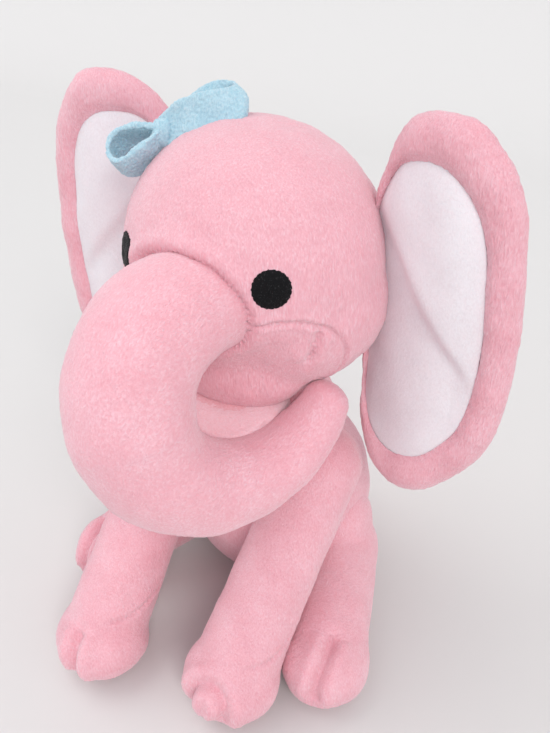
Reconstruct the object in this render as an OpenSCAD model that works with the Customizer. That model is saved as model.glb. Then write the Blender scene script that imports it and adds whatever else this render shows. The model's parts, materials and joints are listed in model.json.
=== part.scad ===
/* [Fabric] */
// Thickness of the plush covers
plush_t = 1.6; // [1.2:0.1:2.4]
// Gap kept between pieces that move against each other
move_gap = 0.5; // [0.4:0.1:1]

/* [Head] */
// Radius of the round head
head_r = 58.5; // [56:0.5:60]
// Height of the middle of the head above the ground
head_z = 200; // [198:1:204]
// Diameter of one embroidered eye
eye_d = 15.6; // [12:0.2:18]
// Turn of each eye away from straight ahead, in degrees
eye_turn = 39.8; // [36:0.2:44]
// Height of each eye above the middle of the head, in degrees
eye_rise = 8.6; // [4:0.2:14]

/* [Trunk] */
// Radius of the trunk where it leaves the face
trunk_r = 25; // [23:0.5:26]
// Radius of the trunk at its tip
trunk_tip_r = 11; // [9:0.5:12]

/* [Ears] */
// Width of one ear
ear_w = 61; // [56:1:66]
// Height of one ear
ear_h = 171; // [160:1:172]
// Thickness of one ear
ear_t = 9; // [7:0.5:11]
// Share of the ear's width that the white lining fills
lining_share = 0.7; // [0.6:0.02:0.8]

/* [Body] */
// Radius of the widest part of the body
belly_r = 54; // [52:1:56]
// Height at which the neck sits on the body
shoulder_z = 128; // [126:1:130]
// Radius of the neck
neck_r = 22; // [20:0.5:23]

/* [Legs] */
// Radius of a front leg at the shoulder
front_leg_r = 19; // [17:0.5:19.5]
// Radius of a front foot
front_foot_r = 22; // [20:0.5:22.5]
// Radius of a hind leg at the hip
hind_leg_r = 23; // [21:0.5:23.5]
// Radius of a hind foot
hind_foot_r = 21; // [19:0.5:21.5]

/* [Bow and tail] */
// Length of the standing loop of the bow
bow_loop_l = 34; // [28:1:38]
// Length of the tail cord
tail_l = 26; // [20:1:30]

/* [Hidden] */
$fn = 48;

// A filling stays this far inside its cover, and more where the cover curls
tuck = 0.15;
curl_tuck = 0.7;
fill_in = plush_t + tuck;

// Side of a cutting block larger than the whole toy
beyond = 500;

// Middle of the head, and the neck's pivot
head_c = [0, -5, head_z];
neck_c = [0, 0, shoulder_z + 12];
torso_y = 10;

// Front legs: shoulder and middle of the foot, elephant's left then right
front_shoulder = [[40, -8, 99], [-40, -16, 99]];
front_foot = [[35, -88, 18], [-34, -104, 18]];
// Hind legs: hip and middle of the foot
hind_hip = [[50, 6, 32], [-50, 6, 32]];
hind_foot = [[72, -54, 18], [-72, -54, 18]];

// The tail hangs from here on the back of the body
tail_root = [0, torso_y + 55, 50];
tail_r = 3.2;
tuft_r = 7;
tail_dir = [0, 0.35, -0.94];
tail_tip_y = tail_root.y + tail_dir.y * tail_l + tuft_r;

// Everything is moved along Y so that the origin is under the middle of the whole toy
foot_front_y = front_foot[1].y - front_foot_r;
mid_y = (foot_front_y + tail_tip_y) / 2;

// Route of the trunk's middle line: forward, down, and back under to the left
trunk_route = [
    [0, -44, 196], [0, -62, 199], [0, -80, 192], [1, -92, 178], [5, -97, 160],
    [12, -93, 142], [21, -80, 129], [30, -62, 123], [38, -44, 126], [43, -29, 134], [46, -20, 145]
];
// Place along the route where the upper part of the trunk meets the lower part
trunk_split = 0.4;
trunk_sides = 24;

module placed() {
    translate([0, -mid_y, 0]) children();
}

// Curves

function unit(v) = v / norm(v);

// A smooth curve through the listed points, u from 0 to 1
function curve_at(pts, u) =
    let (n = len(pts) - 1,
         w = min(max(u, 0), 1) * n,
         i = min(floor(w), n - 1),
         t = w - i,
         a = pts[max(i - 1, 0)],
         b = pts[i],
         c = pts[i + 1],
         d = pts[min(i + 2, n)])
    0.5 * (2 * b + (c - a) * t + (2 * a - 5 * b + 4 * c - d) * t * t + (3 * b - a - 3 * c + d) * t * t * t);

function curve_dir(pts, u) = unit(curve_at(pts, u + 0.01) - curve_at(pts, u - 0.01));

// One ring of points round a place on the curve, pushed along the curve by slide
function ring_at(pts, u, r, slide = 0) =
    let (c = curve_at(pts, u),
         t = curve_dir(pts, u),
         side = unit(cross([1, 0, 0], t)),
         up = cross(t, side))
    [for (k = [0:trunk_sides - 1])
        c + slide * t + r * (cos(k * 360 / trunk_sides) * side + sin(k * 360 / trunk_sides) * up)];

// Skin between rings, each with the same number of points; the ends are closed flat
module ring_solid(rings) {
    n = len(rings[0]);
    m = len(rings);
    polyhedron(
        points = [for (ring = rings) each ring],
        faces = [
            [for (k = [0:n - 1]) k],
            for (j = [0:m - 2], k = [0:n - 1]) each [
                [j * n + k, (j + 1) * n + k, j * n + (k + 1) % n],
                [j * n + (k + 1) % n, (j + 1) * n + k, (j + 1) * n + (k + 1) % n]
            ],
            [for (k = [n - 1:-1:0]) (m - 1) * n + k]
        ]
    );
}

// Skin between rings where the last ring joins the first, so the solid is a closed sleeve
module sleeve_solid(rings) {
    n = len(rings[0]);
    m = len(rings);
    polyhedron(
        points = [for (ring = rings) each ring],
        faces = [
            for (j = [0:m - 1], k = [0:n - 1]) each [
                [j * n + k, ((j + 1) % m) * n + k, j * n + (k + 1) % n],
                [j * n + (k + 1) % n, ((j + 1) % m) * n + k, ((j + 1) % m) * n + (k + 1) % n]
            ]
        ]
    );
}

// Lays a solid of revolution, drawn along +Z, from one point towards another
module along(from, to) {
    v = to - from;
    translate(from) rotate([0, acos(v.z / norm(v)), atan2(v.y, v.x)]) children();
}

// Body

// Half outline of the body, shrunk all round by inset: a round belly under a narrower chest
belly_curve_r = 38;
chest_curve_r = 24;
chest = [8, shoulder_z - 20];

module torso_outline(inset) {
    intersection() {
        hull() {
            translate([belly_r - belly_curve_r, belly_curve_r - 1])
                circle(r = belly_curve_r - inset, $fn = 18);
            translate(chest) circle(r = chest_curve_r - inset, $fn = 16);
            translate([0, inset]) square([1, chest.y - inset]);
        }
        translate([0, inset]) square([belly_r + 1, shoulder_z - 2 * inset]);
    }
}

module torso_solid(inset) {
    translate([0, torso_y, 0]) rotate_extrude() torso_outline(inset);
}

// The room that one leg sweeps through as it swings
module leg_sweep(from, to, r, axis, angles) {
    translate(from) sphere(r = r + move_gap);
    for (a = angles)
        translate(from) rotate(a = a, v = axis) translate(-from)
            along(from, to) cylinder(r = r + move_gap, h = norm(to - from));
}

// Angles that each kind of leg passes as it swings
front_swing = [-2, 4, 12, 20];
hind_splay = [-2, 5, 14, 25];

module leg_room() {
    for (i = [0, 1]) {
        leg_sweep(front_shoulder[i], front_foot[i], front_leg_r, [-1, 0, 0], front_swing);
        leg_sweep(hind_hip[i], hind_foot[i], hind_leg_r, [0, 0, 1 - 2 * i], hind_splay);
    }
}

module torso_cover() {
    color("pink") placed() minkowski() {
        difference() {
            torso_solid(0, $fn = 40);
            torso_solid(plush_t, $fn = 40);
            leg_room($fn = 40);
        }
    }
}

// Radius of the pellet bag and the height of its top
bag_r = 24;
bag_top = 30;

module torso_filling() {
    color("white") placed() minkowski() {
        difference() {
            torso_solid(fill_in, $fn = 32);
            leg_room($fn = 32);
            translate([0, torso_y, 0]) cylinder(r = bag_r + tuck, h = bag_top + tuck);
        }
    }
}

// Weighted bag of pellets in the seat, under the filling
module bean_bag() {
    color("ivory") placed() translate([0, torso_y, fill_in])
        cylinder(r = bag_r, h = bag_top - fill_in);
}

module neck_ball(r) {
    intersection() {
        translate(neck_c) sphere(r = r);
        translate([-beyond / 2, -beyond / 2, shoulder_z + move_gap]) cube(beyond);
    }
}

module neck_filling() {
    color("white") placed() neck_ball(neck_r);
}

// Head

module head_solid(inset) {
    translate(head_c) sphere(r = head_r - inset, $fn = 96);
}

// The dents in the head that the neck and the trunk move in
module head_sockets(more) {
    translate(neck_c) sphere(r = neck_r + move_gap + more);
    translate(trunk_route[0]) sphere(r = trunk_r + move_gap + more);
    // A wider dish in front of the trunk's dent, so that the trunk can lift
    translate(trunk_route[0] + [0, -26, 6]) sphere(r = trunk_r + 8);
}

jaw_c = [0, -29, 154];
jaw_r = 31;
jaw_flat = 0.62;

module jaw_solid(inset) {
    k = (jaw_r * jaw_flat - inset) / (jaw_r - inset);
    translate(jaw_c) scale([1, 1, k]) sphere(r = jaw_r - inset);
}

// Thin inner panel of the mouth, between the trunk and the lower lip
mouth_top_z = jaw_c.z + 4;
mouth_t = 1.6;

module mouth_cut(grow) {
    translate([-jaw_r, jaw_c.y - jaw_r, mouth_top_z - grow]) cube([2 * jaw_r, jaw_r, jaw_r]);
}

module head_cover() {
    color("pink") placed() difference() {
        head_solid(0);
        head_solid(plush_t);
        head_sockets(0);
        eye_disc(1, 0.1);
        eye_disc(-1, 0.1);
    }
}

module head_filling() {
    color("white") placed() minkowski() {
        difference() {
            translate(head_c) sphere(r = head_r - fill_in, $fn = 44);
            head_sockets(plush_t + 1.5, $fn = 32);
        }
    }
}

module jaw_cover() {
    color("pink") placed() difference() {
        jaw_solid(0);
        jaw_solid(plush_t);
        head_solid(-tuck);
        head_sockets(0);
        mouth_cut(0);
    }
}

module jaw_filling() {
    color("white") placed() difference() {
        jaw_solid(fill_in);
        head_solid(-tuck);
        head_sockets(0);
        mouth_cut(mouth_t + tuck);
    }
}

module mouth_lining() {
    color("lightpink") placed() difference() {
        intersection() {
            jaw_solid(fill_in);
            translate([-jaw_r, jaw_c.y - jaw_r, mouth_top_z - mouth_t]) cube([2 * jaw_r, jaw_r, mouth_t]);
        }
        head_solid(-tuck);
        head_sockets(0);
    }
}

// Round patch of black satin stitch, let into the face
module eye_disc(s, grow) {
    a = s * eye_turn;
    depth = head_r + 6;
    translate(head_c) rotate([90 - eye_rise, 0, a]) intersection() {
        cylinder(d = eye_d + 2 * grow, h = depth);
        difference() {
            sphere(r = head_r + 1.1 + grow);
            sphere(r = head_r - 1.2 - grow);
        }
    }
}

module left_eye() {
    color("black") placed() eye_disc(1, 0);
}

module right_eye() {
    color("black") placed() eye_disc(-1, 0);
}

// Bow

bow_c = [-37, -18, 249.5];
bow_knot_r = 5.5;
bow_stand = [-24, -8, 262];
bow_roll = [-46, -29, 244];

module bow_knot() {
    color("lightblue") placed() minkowski() {
        difference() {
            translate(bow_c) sphere(r = bow_knot_r, $fn = 28);
            head_solid(-tuck);
        }
    }
}

module bow_standing_loop() {
    color("lightblue") placed() difference() {
        translate(bow_stand) rotate([0, -30, 32]) scale([bow_loop_l / 2, 5, 12]) sphere(r = 1);
        translate(bow_c) sphere(r = bow_knot_r + tuck);
        head_solid(-tuck);
    }
}

module bow_rolled_loop() {
    roll_r = 9.5;
    color("lightblue") placed() difference() {
        along(bow_roll - [8, 5, 4], bow_roll + [8, 5, 4]) difference() {
            cylinder(r = roll_r, h = 20);
            translate([0, 0, -1]) cylinder(r = roll_r - 3.5, h = 22);
        }
        translate(bow_c) sphere(r = bow_knot_r + tuck);
        head_solid(-tuck);
    }
}

// Trunk

function trunk_radius(u) = trunk_r - (trunk_r - trunk_tip_r) * pow(max(u - 0.38, 0) / 0.62, 1.1);

trunk_pivot = curve_at(trunk_route, trunk_split);
trunk_ball_r = trunk_radius(trunk_split);

// Rings from one place on the route to another, inset from the trunk's skin
function trunk_rings(from, to, count, inset) =
    [for (i = [0:count]) let (u = from + (to - from) * i / count)
        ring_at(trunk_route, u, trunk_radius(u) - inset)];

// Rings of a round end at the trunk's tip
function tip_rings(inset) =
    [for (a = [18:18:72])
        ring_at(trunk_route, 0.999, (trunk_tip_r - inset) * cos(a), (trunk_tip_r - inset) * 0.8 * sin(a))];

module trunk_upper(inset) {
    ring_solid(trunk_rings(0.06, trunk_split - 0.005, 8, inset));
}

module trunk_lower(inset) {
    ring_solid([each trunk_rings(trunk_split + 0.012, 0.999, 12, inset), each tip_rings(inset)]);
}

module trunk_upper_cover() {
    color("pink") placed() difference() {
        sleeve_solid([
            each trunk_rings(0.06, trunk_split - 0.005, 8, 0),
            each trunk_rings(trunk_split - 0.005, 0.06, 8, plush_t)
        ]);
        translate(trunk_pivot) sphere(r = trunk_ball_r + move_gap);
    }
}

module trunk_upper_filling() {
    color("white") placed() difference() {
        union() {
            trunk_upper(fill_in + curl_tuck);
            translate(trunk_route[0]) sphere(r = trunk_r - fill_in - 2 * curl_tuck);
        }
        translate(trunk_pivot) sphere(r = trunk_ball_r + move_gap);
    }
}

module trunk_lower_cover() {
    color("pink") placed() sleeve_solid([
        each trunk_rings(trunk_split + 0.012, 0.999, 12, 0),
        each tip_rings(0),
        each [for (a = [72:-18:18])
            ring_at(trunk_route, 0.999, (trunk_tip_r - plush_t) * cos(a), (trunk_tip_r - plush_t) * 0.8 * sin(a))],
        each trunk_rings(0.999, trunk_split + 0.012, 12, plush_t)
    ]);
}

module trunk_lower_filling() {
    color("white") placed() union() {
        trunk_lower(fill_in + curl_tuck);
        translate(trunk_pivot) sphere(r = trunk_ball_r - fill_in - 2 * curl_tuck);
    }
}

// Ears

ear_c = [88, 0, 187];
ear_lean = 0.03;
ear_root_y = 8;
ear_sides = 32;

function spread(v, p) = sign(v) * pow(abs(v), p);

// Distance of the head's side from its axis at a height
function head_edge(z) =
    let (k = (z - head_z) / (head_r + 2.5))
    abs(k) < 1 ? (head_r + 2.5) * sqrt(1 - k * k) : 0;

// A point on the ear's outline: a long round shape that follows the side of the head
function ear_outline(a) =
    let (z = ear_c.z + ear_h / 2 * spread(sin(a), 0.86),
         x = ear_c.x - ear_lean * (z - ear_c.z) + ear_w / 2 * spread(cos(a), 0.78))
    [max(x, head_edge(z)), z];

// The ear cups forward from its root at the side of the head
function ear_mid_y(x, z) =
    let (out = min(max((x - head_r) / 40, -0.3), 1),
         low = max((head_z - 40 - z) / 60, 0))
    ear_root_y - 17 * sin(90 * out) + 3 * out * out - 7 * min(low, 1) * (1 - max(out, 0));

function ear_ring(s, off) =
    [for (k = [0:ear_sides - 1])
        let (p = ear_outline(k * 360 / ear_sides),
             x = ear_c.x + s * (p.x - ear_c.x),
             z = ear_c.z + s * (p.y - ear_c.z))
        [x, ear_mid_y(x, z) + off, z]];

// Half thickness of a pad that rounds off at its rim
function pad_half(s, t) = t * sqrt(max(1 - pow(s, 5), 0));

module ear_solid(profile) {
    placed() ring_solid([for (p = profile) ear_ring(p[0], p[1])]);
}

ear_steps = [0.02, 0.45, 0.7, 0.86, 0.95, 0.99];
ear_half = ear_t / 2;

// Back of the ear, its rim, and the band that turns over to the front
module ear_back() {
    inner = ear_half - plush_t;
    ear_solid([
        for (s = ear_steps) [s, pad_half(s, ear_half)],
        [1, 0],
        for (s = [0.99, 0.95, 0.86, lining_share]) [s, -pad_half(s, ear_half)],
        for (s = [lining_share, 0.86]) [s, -pad_half(s, inner)],
        [0.95, -inner * 0.55],
        [0.965, 0],
        [0.95, inner * 0.55],
        for (s = [0.86, 0.7, 0.45, 0.02]) [s, pad_half(s, inner)]
    ]);
}

module ear_lining() {
    s_in = lining_share - 0.01;
    ear_solid([
        for (s = [0.02, 0.3, 0.5, s_in]) [s, -ear_half + plush_t],
        for (s = [s_in, 0.5, 0.3, 0.02]) [s, -ear_half]
    ]);
}

module ear_wadding() {
    half = ear_half - fill_in - tuck;
    ear_solid([
        for (s = [0.02, 0.45, 0.7, 0.86]) [s, pad_half(s, half)],
        [0.93, 0],
        for (s = [0.86, 0.7, 0.45, 0.02]) [s, -pad_half(s, half)]
    ]);
}

module left_ear_back() {
    color("pink") ear_back();
}

module left_ear_lining() {
    color("white") ear_lining();
}

module left_ear_wadding() {
    color("ivory") ear_wadding();
}

module right_ear_back() {
    color("pink") mirror([1, 0, 0]) ear_back();
}

module right_ear_lining() {
    color("white") mirror([1, 0, 0]) ear_lining();
}

module right_ear_wadding() {
    color("ivory") mirror([1, 0, 0]) ear_wadding();
}

// Legs

// Round column from a ball at the top to a round foot, cut flat where it stands
module leg_solid(from, to, r, foot_r, inset) {
    l = norm(to - from);
    intersection() {
        union() {
            along(from, to) rotate_extrude() intersection() {
                hull() {
                    circle(r = r - inset);
                    translate([0, l - 4]) square([foot_r - 3.5 - inset, 4]);
                }
                translate([0, -r]) square([r + 1, l + r]);
            }
            translate(to) sphere(r = foot_r - inset);
        }
        translate([-beyond / 2, -beyond / 2, inset]) cube(beyond);
    }
}

// The sole closes the flat underside of the foot
function sole_r(to, foot_r) = sqrt(foot_r * foot_r - to.z * to.z) - 1;

module sole_disc(to, foot_r, grow, h) {
    translate([to.x, to.y, -grow]) cylinder(r = sole_r(to, foot_r) + grow, h = h + grow);
}

module leg_cover(from, to, r, foot_r) {
    color("pink") placed() difference() {
        leg_solid(from, to, r, foot_r, 0);
        leg_solid(from, to, r, foot_r, plush_t);
        sole_disc(to, foot_r, tuck, plush_t);
    }
}

module leg_filling(from, to, r, foot_r) {
    color("white") placed() leg_solid(from, to, r, foot_r, fill_in);
}

module leg_sole(to, foot_r) {
    color("pink") placed() sole_disc(to, foot_r, 0, plush_t - tuck);
}

module front_left_leg_cover() leg_cover(front_shoulder[0], front_foot[0], front_leg_r, front_foot_r);
module front_left_leg_filling() leg_filling(front_shoulder[0], front_foot[0], front_leg_r, front_foot_r);
module front_left_sole() leg_sole(front_foot[0], front_foot_r);
module front_right_leg_cover() leg_cover(front_shoulder[1], front_foot[1], front_leg_r, front_foot_r);
module front_right_leg_filling() leg_filling(front_shoulder[1], front_foot[1], front_leg_r, front_foot_r);
module front_right_sole() leg_sole(front_foot[1], front_foot_r);
module hind_left_leg_cover() leg_cover(hind_hip[0], hind_foot[0], hind_leg_r, hind_foot_r);
module hind_left_leg_filling() leg_filling(hind_hip[0], hind_foot[0], hind_leg_r, hind_foot_r);
module hind_left_sole() leg_sole(hind_foot[0], hind_foot_r);
module hind_right_leg_cover() leg_cover(hind_hip[1], hind_foot[1], hind_leg_r, hind_foot_r);
module hind_right_leg_filling() leg_filling(hind_hip[1], hind_foot[1], hind_leg_r, hind_foot_r);
module hind_right_sole() leg_sole(hind_foot[1], hind_foot_r);

// Tail

tail_end = tail_root + tail_dir * tail_l;
// The cord is sewn into the body's back seam, a little inside it, and stops inside the tuft
tail_start = tail_root - [0, 3, 0];
cord_l = norm(tail_end - tail_start) - tuft_r + 2;

module tail_cord() {
    color("pink") placed() difference() {
        along(tail_start, tail_end) cylinder(r = tail_r, h = cord_l);
        torso_solid(-move_gap);
    }
}

module tail_tuft() {
    color("pink") placed() difference() {
        translate(tail_end) sphere(r = tuft_r);
        along(tail_start, tail_end) cylinder(r = tail_r + tuck, h = cord_l + tuck);
    }
}

torso_cover();
torso_filling();
bean_bag();
neck_filling();
head_cover();
head_filling();
jaw_cover();
jaw_filling();
mouth_lining();
left_eye();
right_eye();
bow_knot();
bow_standing_loop();
bow_rolled_loop();
trunk_upper_cover();
trunk_upper_filling();
trunk_lower_cover();
trunk_lower_filling();
left_ear_back();
left_ear_lining();
left_ear_wadding();
right_ear_back();
right_ear_lining();
right_ear_wadding();
front_left_leg_cover();
front_left_leg_filling();
front_left_sole();
front_right_leg_cover();
front_right_leg_filling();
front_right_sole();
hind_left_leg_cover();
hind_left_leg_filling();
hind_left_sole();
hind_right_leg_cover();
hind_right_leg_filling();
hind_right_sole();
tail_cord();
tail_tuft();
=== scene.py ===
import json
import math
import bmesh
import bpy
import numpy as np
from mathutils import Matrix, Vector, noise
from mathutils.bvhtree import BVHTree


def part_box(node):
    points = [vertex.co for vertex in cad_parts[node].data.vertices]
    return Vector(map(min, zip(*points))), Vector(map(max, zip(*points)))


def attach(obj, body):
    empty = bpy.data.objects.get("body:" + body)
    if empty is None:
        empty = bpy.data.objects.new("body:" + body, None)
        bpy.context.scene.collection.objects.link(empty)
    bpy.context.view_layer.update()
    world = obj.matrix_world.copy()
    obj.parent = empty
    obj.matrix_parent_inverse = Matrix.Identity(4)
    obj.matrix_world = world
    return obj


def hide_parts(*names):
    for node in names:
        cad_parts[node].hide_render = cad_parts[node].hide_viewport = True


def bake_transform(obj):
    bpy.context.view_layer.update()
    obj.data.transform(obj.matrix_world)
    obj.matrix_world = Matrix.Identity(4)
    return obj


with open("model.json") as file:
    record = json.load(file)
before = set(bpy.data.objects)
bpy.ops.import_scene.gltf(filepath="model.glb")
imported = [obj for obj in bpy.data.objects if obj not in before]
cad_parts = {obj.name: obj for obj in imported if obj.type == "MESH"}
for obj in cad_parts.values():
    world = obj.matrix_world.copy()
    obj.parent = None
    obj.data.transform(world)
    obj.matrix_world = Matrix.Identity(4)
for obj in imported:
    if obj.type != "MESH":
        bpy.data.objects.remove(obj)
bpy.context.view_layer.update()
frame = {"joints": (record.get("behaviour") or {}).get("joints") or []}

mm = 0.001
jointAt = {joint["name"]: np.array(joint["pos_m"]) / mm for joint in frame["joints"]}

# The middle of the round head is where most places below are measured from
headLow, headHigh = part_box("head_cover")
headRadius = (headHigh.x - headLow.x) / 2 / mm
headMid = np.array([0, headHigh.y / mm - headRadius, headHigh.z / mm - headRadius])


def boxMid(node):
    low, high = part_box(node)
    return np.array((low + high) / 2) / mm


# Curves and meshes are in millimetres until a mesh is made

def curveThrough(points, count):
    points = np.array(points, float)
    last = len(points) - 1
    made = []
    for u in np.linspace(0, last, count):
        i = min(int(u), last - 1)
        t = u - i
        a, b = points[max(i - 1, 0)], points[i]
        c, d = points[i + 1], points[min(i + 2, last)]
        made.append(0.5 * (2 * b + (c - a) * t + (2 * a - 5 * b + 4 * c - d) * t ** 2
                           + (3 * b - a - 3 * c + d) * t ** 3))
    return np.array(made)


# Evenly spaced places on a smooth closed curve
def loopThrough(points, count):
    points = np.array(points, float)
    around = np.concatenate([points[-2:], points, points[:3]])
    dense = curveThrough(around, (len(around) - 1) * 40 + 1)[80:81 + len(points) * 40]
    run = np.concatenate([[0], np.cumsum(np.linalg.norm(np.diff(dense, axis=0), axis=1))])
    even = np.linspace(0, run[-1], count, endpoint=False)
    return np.stack([np.interp(even, run, dense[:, k]) for k in range(dense.shape[1])], -1)


def unitRows(rows):
    return rows / np.maximum(np.linalg.norm(rows, axis=-1, keepdims=True), 1e-9)


# Rings of points round a route; across and deep are the two radii at each ring
def tubeGrid(route, across, deep, sides, side=(1, 0, 0)):
    along = unitRows(np.gradient(route, axis=0))
    wide = unitRows(np.array(side, float) - along * (along @ np.array(side, float))[:, None])
    up = np.cross(along, wide)
    turn = np.linspace(0, 2 * np.pi, sides, endpoint=False)
    across = np.broadcast_to(across, len(route))[:, None, None]
    deep = np.broadcast_to(deep, len(route))[:, None, None]
    return (route[:, None] + across * np.cos(turn)[None, :, None] * wide[:, None]
            + deep * np.sin(turn)[None, :, None] * up[:, None])


def gridFaces(rows, sides, first=0):
    faces = []
    for r in range(rows - 1):
        for k in range(sides):
            a, b = first + r * sides + k, first + r * sides + (k + 1) % sides
            faces.append((a, b, b + sides, a + sides))
    return faces


def tubeShape(grid, capStart=True, capEnd=True):
    rows, sides = grid.shape[:2]
    points = [tuple(p) for p in grid.reshape(-1, 3)]
    faces = gridFaces(rows, sides)
    if capStart:
        points.append(tuple(grid[0].mean(0)))
        faces += [(len(points) - 1, (k + 1) % sides, k) for k in range(sides)]
    if capEnd:
        points.append(tuple(grid[-1].mean(0)))
        base = (rows - 1) * sides
        faces += [(len(points) - 1, base + k, base + (k + 1) % sides) for k in range(sides)]
    return points, faces


# An ellipsoid, boxier below square 1; tilt leans its front down, in degrees
def ballShape(middle, radii, tilt=0, sides=48, square=1.0):
    def spread(values):
        return np.sign(values) * np.abs(values) ** square
    rise = np.linspace(-np.pi / 2, np.pi / 2, sides // 2)[1:-1]
    turn = np.linspace(0, 2 * np.pi, sides, endpoint=False)
    grid = np.stack([spread(np.cos(rise))[:, None] * spread(np.cos(turn)) * radii[0],
                     spread(np.cos(rise))[:, None] * spread(np.sin(turn)) * radii[1],
                     spread(np.sin(rise))[:, None] * np.ones(sides) * radii[2]], -1)
    lean = math.radians(tilt)
    y, z = grid[..., 1].copy(), grid[..., 2].copy()
    grid[..., 1] = y * math.cos(lean) - z * math.sin(lean)
    grid[..., 2] = y * math.sin(lean) + z * math.cos(lean)
    return tubeShape(grid + np.array(middle))


def makePiece(name, shape):
    points, faces = shape
    mesh = bpy.data.meshes.new(name)
    mesh.from_pydata([tuple(np.array(p) * mm) for p in points], [], faces)
    mesh.validate()
    shell = bmesh.new()
    shell.from_mesh(mesh)
    bmesh.ops.recalc_face_normals(shell, faces=shell.faces)
    shell.to_mesh(mesh)
    shell.free()
    mesh.update()
    piece = bpy.data.objects.new(name, mesh)
    bpy.context.scene.collection.objects.link(piece)
    mesh.shade_smooth()
    return piece


# Applies the piece's modifiers to its mesh
def bake(piece):
    depsgraph = bpy.context.evaluated_depsgraph_get()
    mesh = bpy.data.meshes.new_from_object(piece.evaluated_get(depsgraph))
    piece.modifiers.clear()
    piece.data = mesh
    mesh.shade_smooth()
    return piece


# Closed shapes pressed into one skin, as stuffing presses a cover
def clayPiece(name, shapes, voxel, softening):
    points, faces = [], []
    for p, f in shapes:
        faces += [tuple(i + len(points) for i in face) for face in f]
        points += list(p)
    piece = makePiece(name, (points, faces))
    skin = piece.modifiers.new("skin", "REMESH")
    skin.mode = "VOXEL"
    skin.voxel_size = voxel * mm
    bake(piece)
    soft = piece.modifiers.new("soft", "SMOOTH")
    soft.iterations = softening
    soft.factor = 0.5
    detail = piece.modifiers.new("detail", "SUBSURF")
    detail.levels = 1
    return bake(piece)


def readPoints(piece):
    points = np.empty(len(piece.data.vertices) * 3, np.float32)
    piece.data.vertices.foreach_get("co", points)
    return points.reshape(-1, 3).astype(float) / mm


def readNormals(piece):
    normals = np.empty(len(piece.data.vertices) * 3, np.float32)
    piece.data.vertex_normals.foreach_get("vector", normals)
    return normals.reshape(-1, 3).astype(float)


def writePoints(piece, points):
    piece.data.vertices.foreach_set("co", (points * mm).astype(np.float32).ravel())
    piece.data.update()


# The nearest places on a piece's skin
def onSurface(piece, places):
    tree = BVHTree.FromObject(piece, bpy.context.evaluated_depsgraph_get())
    found = [tree.find_nearest(Vector(tuple(np.array(p) * mm)))[0] for p in places]
    return np.array([tuple(place) for place in found]) / mm


# Pulls the cover in along a line of stitches and lets it swell on both sides
def sewSeam(piece, places, depth=0.9, width=1.5, stitch=2.6, puff=0.35):
    line = onSurface(piece, curveThrough(places, 16 * len(places)))
    steps = np.linalg.norm(np.diff(line, axis=0), axis=1)
    run = np.concatenate([[0], np.cumsum(steps)])
    line = np.stack([np.interp(np.arange(0, run[-1], 0.7), run, line[:, k]) for k in range(3)], -1)
    points, normals = readPoints(piece), readNormals(piece)
    reach = 5 * width
    near = np.where(((points > line.min(0) - reach) & (points < line.max(0) + reach)).all(1))[0]
    away = np.full(len(near), 1e9)
    place = np.zeros(len(near))
    for i, p in enumerate(line):
        d = np.linalg.norm(points[near] - p, axis=1)
        closer = d < away
        away[closer] = d[closer]
        place[closer] = i * 0.7
    ends = np.clip(np.minimum(place, place.max() - place) / 3 + 0.25, 0, 1)
    pull = depth * np.exp(-(away / width) ** 2) * (1 + 0.3 * np.cos(2 * np.pi * place / stitch))
    swell = puff * depth * np.exp(-((away - 2.4 * width) / (1.3 * width)) ** 2)
    points[near] += normals[near] * ((swell - pull) * ends)[:, None]
    writePoints(piece, points)


# Presses a soft hollow into the skin, or a swelling where depth is below zero
def dent(piece, middle, reach, depth):
    points, normals = readPoints(piece), readNormals(piece)
    away = np.linalg.norm(points - np.array(middle), axis=1)
    writePoints(piece, points - normals * (depth * np.exp(-(away / reach) ** 2))[:, None])


# Small uneven relief over the whole skin, as pile and stuffing give it
def ruffle(piece, height, grain, seed, stretch=(1, 1, 1)):
    points, normals = readPoints(piece), readNormals(piece)
    scale = np.array(stretch) / grain
    rise = np.array([noise.noise(Vector(p)) for p in (points * scale + seed * 17.3)])
    writePoints(piece, points + normals * (rise * height)[:, None])


# Flattens what would go below the ground, with a soft edge
def restOnGround(piece, height=0.0, soft=3.0):
    points = readPoints(piece)
    low = points[:, 2] < height + soft
    z = points[low, 2] - height
    points[low, 2] = height + np.maximum(soft * np.exp((z - soft) / soft), 0.12)
    writePoints(piece, points)


def addNode(tree, kind, **values):
    made = tree.nodes.new(kind)
    for key, value in values.items():
        if key in made.inputs:
            made.inputs[key].default_value = value
        else:
            setattr(made, key, value)
    return made


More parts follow.
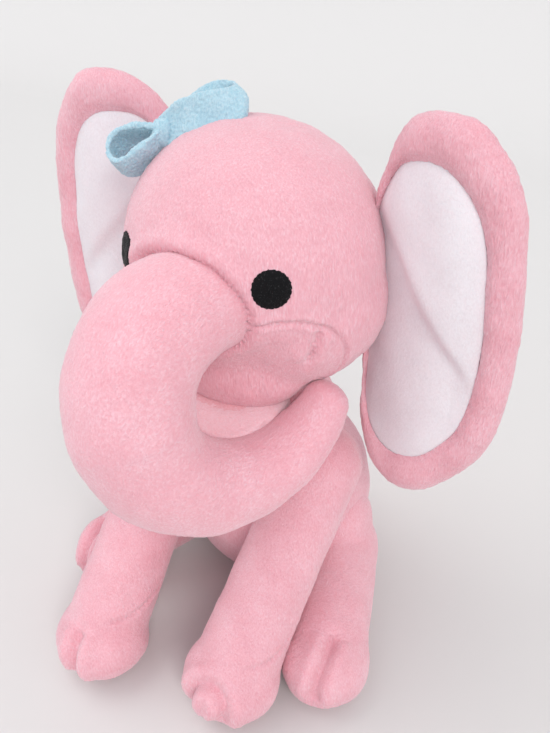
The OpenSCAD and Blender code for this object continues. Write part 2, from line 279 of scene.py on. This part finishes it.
# Cut pile: fine streaks that follow the nap, a mottle where it is brushed, and a soft sheen
def pileMaterial(name, look):
    material = bpy.data.materials.new(name)
    material.use_nodes = True
    tree = material.node_tree
    link = tree.links.new
    shader = tree.nodes["Principled BSDF"]
    shader.inputs["Roughness"].default_value = look["roughness"]
    shader.inputs["Sheen Weight"].default_value = look["sheen"]
    shader.inputs["Sheen Roughness"].default_value = look["sheenRoughness"]
    shader.inputs["Sheen Tint"].default_value = (*look["sheenTint"], 1)
    shader.inputs["Specular IOR Level"].default_value = 0.15
    shader.inputs["Subsurface Weight"].default_value = look["depthGlow"]
    shader.inputs["Subsurface Radius"].default_value = (0.9, 0.45, 0.4)
    shader.inputs["Subsurface Scale"].default_value = 0.004
    place = addNode(tree, "ShaderNodeTexCoord")
    lay = addNode(tree, "ShaderNodeMapping", Scale=look["nap"])
    streaks = addNode(tree, "ShaderNodeTexNoise", Scale=1.0, Detail=3.0, Roughness=0.6, Distortion=0.35)
    mottle = addNode(tree, "ShaderNodeTexNoise", Scale=look["mottleScale"], Detail=4.0, Roughness=0.55)
    link(place.outputs["Object"], lay.inputs["Vector"])
    link(lay.outputs["Vector"], streaks.inputs["Vector"])
    link(place.outputs["Object"], mottle.inputs["Vector"])
    tone = addNode(tree, "ShaderNodeValToRGB")
    tone.color_ramp.elements[0].position = look.get("darkUpTo", 0.3)
    tone.color_ramp.elements[0].color = (*look["deep"], 1)
    tone.color_ramp.elements[1].position = look.get("paleFrom", 0.72)
    tone.color_ramp.elements[1].color = (*look["tips"], 1)
    middle = tone.color_ramp.elements.new(look.get("midway", 0.5))
    middle.color = (*look["colour"], 1)
    blend = addNode(tree, "ShaderNodeMath", operation="MULTIPLY_ADD")
    blend.inputs[1].default_value = look["streaks"]
    link(streaks.outputs["Fac"], blend.inputs[0])
    rest = addNode(tree, "ShaderNodeMath", operation="MULTIPLY")
    rest.inputs[1].default_value = 1 - look["streaks"]
    link(mottle.outputs["Fac"], rest.inputs[0])
    link(rest.outputs[0], blend.inputs[2])
    link(blend.outputs[0], tone.inputs["Fac"])
    link(tone.outputs["Color"], shader.inputs["Base Color"])
    relief = addNode(tree, "ShaderNodeBump", Strength=look["relief"], Distance=0.0006)
    link(streaks.outputs["Fac"], relief.inputs["Height"])
    link(relief.outputs["Normal"], shader.inputs["Normal"])
    return material


pinkLook = dict(colour=(0.83, 0.44, 0.50), deep=(0.75, 0.33, 0.39), tips=(0.90, 0.59, 0.65),
                roughness=0.92, sheen=0.5, sheenRoughness=0.4, sheenTint=(1.0, 0.93, 0.95),
                depthGlow=0.15, nap=(1700, 1700, 420), mottleScale=70, streaks=0.7, relief=1.0)
pinkPlush = pileMaterial("pinkPlush", pinkLook)
pinkPlushAcross = pileMaterial("pinkPlushAcross", dict(
    pinkLook, nap=(1500, 600, 900), deep=(0.79, 0.37, 0.43)))
pinkPlushHead = pileMaterial("pinkPlushHead", dict(
    pinkLook, nap=(1500, 1500, 300), streaks=0.8, deep=(0.77, 0.37, 0.43), tips=(0.89, 0.59, 0.65)))
# Painted light: the lower lip's pink is paler than the plush to paint the sunlight that falls on the lip's
# top
lipSunlitPink = pileMaterial("lipSunlitPink", dict(
    pinkLook, colour=(0.93, 0.62, 0.67), deep=(0.90, 0.55, 0.60), tips=(0.96, 0.72, 0.77),
    nap=(1100, 1100, 1100)))
mouthPink = pileMaterial("mouthPink", dict(
    pinkLook, colour=(0.87, 0.50, 0.54), nap=(1300, 1300, 1300), relief=0.4))
liningWhite = pileMaterial("liningWhite", dict(
    pinkLook, colour=(0.79, 0.74, 0.77), deep=(0.73, 0.66, 0.69), tips=(0.84, 0.80, 0.83),
    nap=(1300, 1300, 800), streaks=0.5, relief=0.35, mottleScale=40, sheen=0.3, depthGlow=0.1))
bowBlue = pileMaterial("bowBlue", dict(
    pinkLook, colour=(0.42, 0.62, 0.71), deep=(0.31, 0.52, 0.63), tips=(0.60, 0.76, 0.82),
    nap=(1500, 900, 900), sheenTint=(0.95, 0.98, 1.0)))
eyeThread = pileMaterial("eyeThread", dict(
    pinkLook, colour=(0.004, 0.004, 0.005), deep=(0.002, 0.002, 0.003), tips=(0.16, 0.16, 0.17),
    midway=0.62, paleFrom=0.8, nap=(2600, 2600, 1200), sheen=0.05, roughness=0.5, depthGlow=0.0,
    sheenTint=(1, 1, 1), streaks=1.0))


def dress(piece, material, body=None):
    piece.data.materials.clear()
    piece.data.materials.append(material)
    if body:
        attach(piece, body)
    return piece


# Each sun: name, strength, softness in degrees and the side that it shines from
room = dict(ambient=0.86, suns=[("window", 1.25, 25, (0.8, -0.72, 0.8)),
                                ("skylight", 0.95, 50, (-0.75, -0.1, 1.2))],
            ahead=9000, behind=900, bend=700, wall=6000)
view = dict(target=(22.9, -2.6, 158.1), azimuth=32.3, elevation=32.0, distance=313.5, lens=34.76)


def setStage():
    turn, rise = math.radians(view["azimuth"]), math.radians(view["elevation"])
    back = Vector((math.sin(turn) * math.cos(rise), -math.cos(turn) * math.cos(rise), math.sin(rise)))
    camera = bpy.data.objects.new("camera", bpy.data.cameras.new("camera"))
    camera.location = (Vector(view["target"]) + back * view["distance"]) * mm
    camera.rotation_euler = back.to_track_quat("Z", "Y").to_euler()
    camera.data.sensor_width = 36
    camera.data.lens = view["lens"]
    camera.data.clip_start = 0.01
    bpy.context.scene.collection.objects.link(camera)
    bpy.context.scene.camera = camera
    bpy.context.scene.view_settings.view_transform = "Standard"
    world = bpy.data.worlds.new("room")
    world.use_nodes = True
    world.node_tree.nodes["Background"].inputs["Color"].default_value = (0.93, 0.95, 1.0, 1)
    world.node_tree.nodes["Background"].inputs["Strength"].default_value = room["ambient"]
    bpy.context.scene.world = world
    for name, strength, softness, place in room["suns"]:
        sun = bpy.data.lights.new(name, "SUN")
        sun.energy, sun.angle, sun.color = strength, math.radians(softness), (1.0, 0.985, 0.97)
        holder = bpy.data.objects.new(name, sun)
        holder.rotation_euler = Vector(place).to_track_quat("Z", "Y").to_euler()
        bpy.context.scene.collection.objects.link(holder)
    ahead, behind, bend = room["ahead"], room["behind"], room["bend"]
    sweep = [(-ahead, 0), (behind, 0)]
    sweep += [(behind + bend * math.sin(a), bend - bend * math.cos(a)) for a in np.radians(range(5, 91, 5))]
    sweep.append((behind + bend, room["wall"]))
    points = [(x, y, z) for y, z in sweep for x in (-ahead, ahead)]
    faces = [(2 * i, 2 * i + 1, 2 * i + 3, 2 * i + 2) for i in range(len(sweep) - 1)]
    floor = makePiece("floor", (points, faces))
    pale = bpy.data.materials.new("paleFloor")
    pale.use_nodes = True
    pale.node_tree.nodes["Principled BSDF"].inputs["Base Color"].default_value = (0.66, 0.65, 0.64, 1)
    pale.node_tree.nodes["Principled BSDF"].inputs["Roughness"].default_value = 0.9
    floor.data.materials.append(pale)


setStage()
print("stage ready")


head = dict(radii=(60, 56, 59), lower=(0, 3, -13), lowerRadii=(62.5, 53, 49),
            muzzle=(0, -17, -42), muzzleRadii=(38, 27, 25), hollow=(29, -47, -35),
            hollowReach=17, hollowDepth=4.5, browWidth=30, browHeight=22, backSeam=60,
            underEye=[(27, -50, -9), (34, -46, -7), (41, -41, -6), (48, -33, -8), (54, -24, -14),
                      (56, -17, -25), (54, -14, -38), (49, -15, -50)],
            mouthCorner=[(49, -28, -12), (47, -29, -20), (44, -29, -30)])


def bothSides(places):
    for side in (1, -1):
        yield [headMid + np.array(p) * (side, 1, 1) for p in places]


def makeHead():
    shapes = [ballShape(headMid, head["radii"]),
              ballShape(headMid + head["lower"], head["lowerRadii"]),
              ballShape(headMid + head["muzzle"], head["muzzleRadii"])]
    cover = clayPiece("headCover", shapes, voxel=1.7, softening=16)
    for places in bothSides([head["hollow"]]):
        dent(cover, places[0], head["hollowReach"], head["hollowDepth"])
    for places in bothSides(head["underEye"]):
        sewSeam(cover, places, depth=1.2, width=1.0, stitch=1.9)
    brow = [headMid + (head["browWidth"] * math.cos(a) - 1, -50, head["browHeight"] * math.sin(a) - 6)
            for a in np.radians(range(-50, 231, 20))]
    sewSeam(cover, brow, depth=2.2, width=2.2)
    for places in bothSides(head["mouthCorner"]):
        sewSeam(cover, places, depth=1.8, width=1.8)
    backSeam = [headMid + head["backSeam"] * np.array((0, math.cos(a), math.sin(a)))
                for a in np.radians(range(-60, 80, 20))]
    sewSeam(cover, backSeam, depth=0.7, width=1.3)
    ruffle(cover, 0.5, 9, 1)
    ruffle(cover, 0.28, 1.1, 2, (1, 1, 0.5))
    dress(cover, pinkPlushHead, "head")
    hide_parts("head_cover", "head_filling")
    return cover


headCover = makeHead()
print("head ready")


# Satin stitch laid over the face
eye = dict(radius=7.9, turn=39.8, rise=8.6, lift=0.75, thread=0.5)


def makeEye(name, side, node):
    turn, rise = math.radians(eye["turn"]) * side, math.radians(eye["rise"])
    out = np.array([math.sin(turn) * math.cos(rise), -math.cos(turn) * math.cos(rise), math.sin(rise)])
    across = unitRows(np.cross(np.array([0, 0, 1.0]), out))
    up = np.cross(out, across)
    tree = BVHTree.FromObject(headCover, bpy.context.evaluated_depsgraph_get())
    rings, sides = 26, 96
    points = []
    for r in range(rings):
        share = (r + 0.3) / (rings - 1 + 0.3)
        for k in range(sides):
            a = 2 * math.pi * k / sides
            rim = eye["radius"] * (1 + 0.018 * math.sin(23 * a) + 0.012 * math.sin(41 * a + 1))
            x, y = rim * share * math.cos(a), rim * share * math.sin(a)
            start = headMid + out * 80 + across * x + up * y
            hit = tree.ray_cast(Vector(tuple(start * mm)), Vector(tuple(-out)))[0]
            ridge = 0.10 * abs(math.sin(math.pi * x / eye["thread"])) * (1 - share ** 6)
            lift = eye["lift"] * (1 - share ** 4) ** 0.5 + ridge - (0.4 if r == rings - 1 else 0)
            points.append(np.array(hit) / mm + out * lift)
    points.append(headMid + out * (np.linalg.norm(points[0] - headMid)))
    faces = gridFaces(rings, sides)
    faces += [(len(points) - 1, (k + 1) % sides, k) for k in range(sides)]
    piece = makePiece(name, (points, faces))
    dress(piece, eyeThread, "head")
    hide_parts(node)


makeEye("leftEye", 1, "left_eye")
makeEye("rightEye", -1, "right_eye")
print("eyes ready")


# Lower lip and its inner panel
jaw = dict(middle=(1, -32, -65.5), radii=(29, 27, 8), tilt=7, square=0.6, rimShare=0.97,
           panel=(0, 3, 2.2), panelRadii=(25, 20, 6.6), panelSquare=0.7)


def makeJaw():
    middle = headMid + np.array(jaw["middle"])
    square, share = jaw["square"], jaw["rimShare"]
    lip = clayPiece("jawCover", [ballShape(middle, jaw["radii"], jaw["tilt"], square=square)],
                    voxel=1.6, softening=2)
    rim = [middle + (share * jaw["radii"][0] * math.copysign(abs(math.cos(a)) ** square, math.cos(a)),
                     share * jaw["radii"][1] * -abs(math.sin(a)) ** square, 5)
           for a in np.radians(range(180, 361, 15))]
    sewSeam(lip, rim, depth=0.9, width=1.1)
    ruffle(lip, 0.25, 1.2, 5)
    # The lip wears the paler pink of painted sunlight
    dress(lip, lipSunlitPink, "head")
    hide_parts("jaw_cover", "jaw_filling")
    inner = ballShape(middle + jaw["panel"], jaw["panelRadii"], jaw["tilt"], square=jaw["panelSquare"])
    panel = clayPiece("mouthLining", [inner], voxel=1.6, softening=2)
    dress(panel, mouthPink, "head")
    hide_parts("mouth_lining")


makeJaw()
print("mouth ready")


# Two lengths that share one ring, so that they stay joined
trunk = dict(route=[(-1, -28, -7), (-1, -42, -6), (0, -58, -4), (0, -75, -9), (1, -87, -22),
                    (5, -92, -40), (12, -88, -58), (21, -75, -71), (30, -57, -77), (38, -39, -74),
                    (43, -24, -66), (46, -15, -55)],
             radius=25, tipRadius=11, thinFrom=4.8, split=5, sides=112, rings=220, gussets=(-0.13, 0.63))


# Radius at a place along the route, counted in its points
def trunkRadius(place):
    last = len(trunk["route"]) - 1
    thin = np.clip((place - trunk["thinFrom"]) / (last - trunk["thinFrom"]), 0, 1) ** 1.1
    flare = 2 * np.clip((3 - place) / 3, 0, 1)
    return trunk["radius"] - (trunk["radius"] - trunk["tipRadius"]) * thin + flare


def makeTrunk():
    last = len(trunk["route"]) - 1
    rings, sides = trunk["rings"], trunk["sides"]
    route = headMid + curveThrough(trunk["route"], rings)
    place = np.linspace(0, last, rings)
    radius = trunkRadius(place)
    root = np.clip((3.2 - place) / 2.2, 0, 1)
    grid = tubeGrid(route, radius + 2 * root, radius - 6 * root, sides)
    ahead = unitRows((route[-1] - route[-2])[None])[0]
    tip = [route[-1] + (grid[-1] - route[-1]) * math.cos(a) + ahead * trunk["tipRadius"] * 0.8 * math.sin(a)
           for a in np.radians(range(8, 89, 8))]
    whole = np.concatenate([grid, np.array(tip)])
    rows = len(whole)
    form = makePiece("trunkForm", tubeShape(whole))
    for turn in trunk["gussets"]:
        gusset = [whole[r, int(sides * turn)] for r in range(18, rings // 2, 10)]
        sewSeam(form, gusset, depth=0.9, width=1.2)
    ruffle(form, 0.8, 17, 3)
    ruffle(form, 0.28, 1.2, 4)
    whole = readPoints(form)[:rows * sides].reshape(rows, sides, 3)
    bpy.data.objects.remove(form)
    cut = int(round(trunk["split"] / last * (rings - 1)))
    parts = (("trunkUpper", whole[:cut + 1], "trunk_upper"), ("trunkLower", whole[cut:], "trunk_lower"))
    for name, part, word in parts:
        piece = makePiece(name, tubeShape(part, capStart=word == "trunk_upper", capEnd=word == "trunk_lower"))
        dress(piece, pinkPlushAcross)
        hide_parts(word + "_cover", word + "_filling")
        if word == "trunk_upper":
            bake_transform(piece)
        else:
            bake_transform(piece)


makeTrunk()
print("trunk ready")


ear = dict(thickness=10.5, middle=(85, -14), root=13, liningAnchor=(58, -13), liningShare=0.79,
           rim=[(52, 41), (62, 61), (75, 69), (92, 68), (106, 55), (114, 38), (118, 12), (120, -12),
                (119, -40), (113, -69), (92, -93), (70, -96), (55, -80), (51, -55), (49, -27), (49, -2),
                (50, 20)])


# How far behind the head's middle the middle of the ear's thickness lies; the ear cups forward
def earDepth(x, z):
    out = np.clip((x - headRadius) / 40, -0.3, 1)
    low = np.clip((-40 - z) / 60, 0, 1)
    return ear["root"] - 17 * np.sin(np.pi / 2 * out) + 3 * out * out - 7 * low * (1 - np.maximum(out, 0))


# The slanting fold in the lining: above it the lining swells, below it it sinks
def foldStep(x, z):
    above = ((z - 15) + 1.15 * (x - 65)) / 1.52
    fade = np.clip((z + 48) / 30, 0, 1)
    return fade / (1 + np.exp(-above / 1.3)) + (1 - fade) * 0.5


def makeEar(word, side):
    half = ear["thickness"] / 2
    sides = 220
    rim = loopThrough(ear["rim"], sides)
    anchor, middle = np.array(ear["liningAnchor"]), np.array(ear["middle"])
    hem = anchor + ear["liningShare"] * (rim - anchor)
    heart = hem.mean(0)

    def ring(flat, lift):
        x, z = flat[:, 0], flat[:, 1]
        y = headMid[1] + earDepth(x, z) + lift
        return np.stack([side * x, y, headMid[2] + z], -1)

    rings = [ring(middle + s * (rim - middle), half * math.sqrt(1 - s ** 5))
             for s in (*np.linspace(0.03, 0.95, 26), 0.975, 0.99, 1)]
    for s in np.linspace(0.98, 0, 18):
        plump = half * math.sqrt(1 - s ** 4) + 1.6 * math.sin(math.pi * s) - 1.4 * math.exp(-(s / 0.14) ** 2)
        rings.append(ring(hem + s * (rim - hem), -plump))
    rings += [ring(heart + s * (hem - heart), -half + 3.2) for s in (0.97, 0.5, 0.03)]
    cover = makePiece(word + "EarBack", tubeShape(np.array(rings)))
    ruffle(cover, 0.9, 14, 11 + side)
    ruffle(cover, 0.42, 1.1, 12 + side)
    dress(cover, pinkPlush, word + "_ear")
    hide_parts(word + "_ear_back", word + "_ear_wadding")

    rings = []
    for s in np.linspace(1, 0.02, 60):
        flat = heart + s * (hem - heart)
        swell = 1.2 * (1 - s ** 6) + 4.6 * (foldStep(flat[:, 0], flat[:, 1]) - 0.4) * (1 - s ** 8)
        rings.append(ring(flat, -half + 1.6 - swell))
    front = len(rings)
    rings += [ring(heart + s * (hem - heart), -half + 3.4) for s in (0.02, 0.5, 0.98)]
    points = np.array(rings)
    lining = makePiece(word + "EarLining", tubeShape(np.concatenate([points[front:], points[:front]])))
    ruffle(lining, 0.8, 18, 21 + side)
    ruffle(lining, 0.1, 1.2, 22 + side)
    dress(lining, liningWhite, word + "_ear")
    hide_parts(word + "_ear_lining")


makeEar("left", 1)
makeEar("right", -1)
print("ears ready")


body = dict(belly=(0, 17, -142), bellyRadii=(54, 50, 58), chest=(0, 10, -92), chestRadii=(39, 34, 36),
            backSeam=[(0, 38, -70), (0, 48, -95), (0, 62, -125), (0, 66, -150), (0, 52, -180)],
            sleeve=(26.5, 25))


def makeBody():
    collar = curveThrough([headMid + (0, 8, -90), headMid + (0, 5, -45)], 12)
    shapes = [ballShape(headMid + body["belly"], body["bellyRadii"]),
              ballShape(headMid + body["chest"], body["chestRadii"]),
              tubeShape(tubeGrid(collar, 26, 24, 40))]
    cover = clayPiece("bodyCover", shapes, voxel=2.2, softening=16)
    restOnGround(cover)
    seam = [headMid + np.array(p) for p in body["backSeam"]]
    sewSeam(cover, seam, depth=0.9, width=1.4)
    ruffle(cover, 0.7, 16, 31)
    ruffle(cover, 0.22, 1.3, 32)
    dress(cover, pinkPlush, "torso")
    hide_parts("torso_cover", "torso_filling", "bean_bag")
    low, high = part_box("neck_filling")
    route = curveThrough([(0, headMid[1] + 5, low.z / mm - 6), (0, headMid[1] + 5, high.z / mm + 4)], 24)
    sleeve = makePiece("neckSleeve", tubeShape(tubeGrid(route, *body["sleeve"], 64)))
    ruffle(sleeve, 1.0, 7, 33, (1, 1, 0.25))
    dress(sleeve, pinkPlush, "neck")
    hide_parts("neck_filling")


makeBody()
print("body ready")


legs = dict(
    front=dict(top=19.5, shin=19.5, ankle=20.5, foot=(24, 22.5, 19), back=5, inward=0),
    hind=dict(top=22, shin=21, ankle=20, foot=(22, 22, 20), back=2, inward=5),
)
toeLines = dict(
    front_left=[[(-9, -20, -12), (-11, -19, -2), (-7, -17, 8), (1, -16, 12), (8, -17, 7), (9, -20, -2),
                 (6, -22, -12)]],
    front_right=[[(0, -11, 15), (0, -16, 12), (0, -21, 4), (0, -22, -6), (0, -20, -13)]],
    hind_left=[[(4, 0, 22), (5, -10, 16), (5, -17, 8), (5, -20, -4)]],
    hind_right=[[(-4, 0, 22), (-5, -10, 16), (-5, -17, 8), (-5, -20, -4)]],
)


def makeLeg(word):
    kind = legs[word.split("_")[0]]
    joint = next(j for j in frame["joints"] if j["child"] == word + "_leg")
    top = np.array(joint["pos_m"]) / mm
    sole = boxMid(word + "_sole")
    inward = -math.copysign(kind["inward"], top[0])
    top = top + (inward, 0, 0)
    foot = sole + (inward * 0.6, kind["back"], 17)
    ankle = foot + (top - foot) * 0.22 + (0, 0, 2)
    route = curveThrough([top, top + (ankle - top) * 0.5, ankle, foot], 40)
    share = np.linspace(0, 1, 40)
    widths = [kind["top"], kind["shin"], kind["ankle"], kind["ankle"] - 2]
    radius = np.interp(share, [0, 0.45, 0.8, 1], widths)
    shapes = [ballShape(top, [kind["top"]] * 3), tubeShape(tubeGrid(route, radius, radius, 40)),
              ballShape(foot, kind["foot"])]
    camel = word.split("_")[0] + word.split("_")[1].capitalize()
    if word.startswith("hind"):
        shapes.append(ballShape(top + (inward * 0.4, 3, 15), (18, 20, 24)))
    cover = clayPiece(camel + "LegCover", shapes, voxel=1.25, softening=22)
    restOnGround(cover)
    for line in toeLines[word]:
        sewSeam(cover, [foot + np.array(p) for p in line], depth=3.2, width=2.7, puff=0.4, stitch=200)
    around = [foot + (kind["foot"][0] * math.cos(a), kind["foot"][1] * math.sin(a), -12)
              for a in np.radians(range(180, 361, 18))]
    sewSeam(cover, around, depth=0.6, width=1.0)
    if word.startswith("front"):
        tie = ankle - (ankle - foot) * 0.1
        cuff = [tie + (25 * math.cos(a), 25 * math.sin(a), 3) for a in np.radians(range(-60, 40, 12))]
        sewSeam(cover, cuff, depth=0.9, width=1.1)
    ruffle(cover, 0.6, 12, 41)
    ruffle(cover, 0.22, 1.3, 42)
    dress(cover, pinkPlush, word + "_leg")
    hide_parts(word + "_leg_cover", word + "_leg_filling")
    pad = makePiece(camel + "Sole", ballShape((foot[0], foot[1], sole[2] + 0.2), (11, 11, 0.8)))
    dress(pad, pinkPlush, word + "_leg")
    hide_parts(word + "_sole")


for word in toeLines:
    makeLeg(word)
print("legs ready")


tail = dict(radius=3.6, tuft=(7, 6, 8))


def makeTail():
    root = jointAt["tail_swing"]
    tuft = boxMid("tail_tuft")
    route = curveThrough([root + (0, -6, 3), root, (root + tuft) / 2 + (0, 1, 0), tuft], 30)
    cord = makePiece("tailCord", tubeShape(tubeGrid(route, tail["radius"], tail["radius"], 28)))
    ruffle(cord, 0.3, 2, 51)
    dress(cord, pinkPlush, "tail")
    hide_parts("tail_cord")
    end = clayPiece("tailTuft", [ballShape(tuft, tail["tuft"])], voxel=1, softening=2)
    ruffle(end, 1.2, 2.5, 52, (1, 1, 0.3))
    dress(end, pinkPlush, "tail")
    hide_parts("tail_tuft")


makeTail()
print("tail ready")


bow = dict(
    thickness=2.4, knot=(5, 6, 7),
    standing=dict(out=(0.84, 0.42, 0.36), wide=(-0.5, 0.35, 0.79), base=(0, 0, 0), length=38, width=23,
                  gather=9, gap=6.5, slide=6.5, rise=1, round=4, cup=2),
    rolled=dict(out=(-0.66, -0.62, -0.42), wide=(-0.12, -0.8, 0.4), base=(0, -1, 0), length=23, width=16,
                gather=8, gap=9.5, slide=0, rise=0, round=0, cup=-1),
)


# A strip folded back on itself and gathered where it enters the knot
def bowLoop(name, node, loop, seed):
    out, wide = np.array(loop["out"]), np.array(loop["wide"])
    out, wide = out / np.linalg.norm(out), wide - out * (wide @ out) / (out @ out)
    wide = wide / np.linalg.norm(wide)
    near = np.cross(out, wide)
    rows = []
    for u in np.linspace(0.12, 2 * np.pi - 0.12, 56):
        share = (1 - math.cos(u)) / 2
        full = math.sin(math.pi * (0.04 + 0.84 * share)) ** 0.8
        width = loop["gather"] + (loop["width"] - loop["gather"]) * full
        middle = boxMid("bow_knot") + np.array(loop["base"]) + out * loop["length"] * share
        middle = middle + near * loop["gap"] * math.sin(u) * (0.4 + 0.6 * share)
        middle = middle + wide * (loop["rise"] * share - loop["slide"] * math.sin(u) * share)
        rows.append([middle + wide * width / 2 * v - out * loop["round"] * v * v * share ** 3
                     + near * loop["cup"] * (v * v - 0.4) * math.sin(u) for v in np.linspace(-1, 1, 12)])
    grid = np.array(rows)
    count, across = grid.shape[:2]
    faces = [(r * across + k, r * across + k + 1, (r + 1) * across + k + 1, (r + 1) * across + k)
             for r in range(count - 1) for k in range(across - 1)]
    piece = makePiece(name, (grid.reshape(-1, 3), faces))
    cloth = piece.modifiers.new("cloth", "SOLIDIFY")
    cloth.thickness = bow["thickness"] * mm
    cloth.offset = 0
    detail = piece.modifiers.new("detail", "SUBSURF")
    detail.levels = 2
    bake(piece)
    ruffle(piece, 0.8, 8, seed)
    ruffle(piece, 0.4, 1.1, seed + 1)
    dress(piece, bowBlue, "head")
    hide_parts(node)


def makeBow():
    knot = clayPiece("bowKnot", [ballShape(boxMid("bow_knot"), bow["knot"])], voxel=0.9, softening=2)
    ruffle(knot, 0.9, 3, 61, (1, 1, 0.3))
    dress(knot, bowBlue, "head")
    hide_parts("bow_knot")
    bowLoop("bowStandingLoop", "bow_standing_loop", bow["standing"], 62)
    bowLoop("bowRolledLoop", "bow_rolled_loop", bow["rolled"], 66)


makeBow()
print("bow ready")
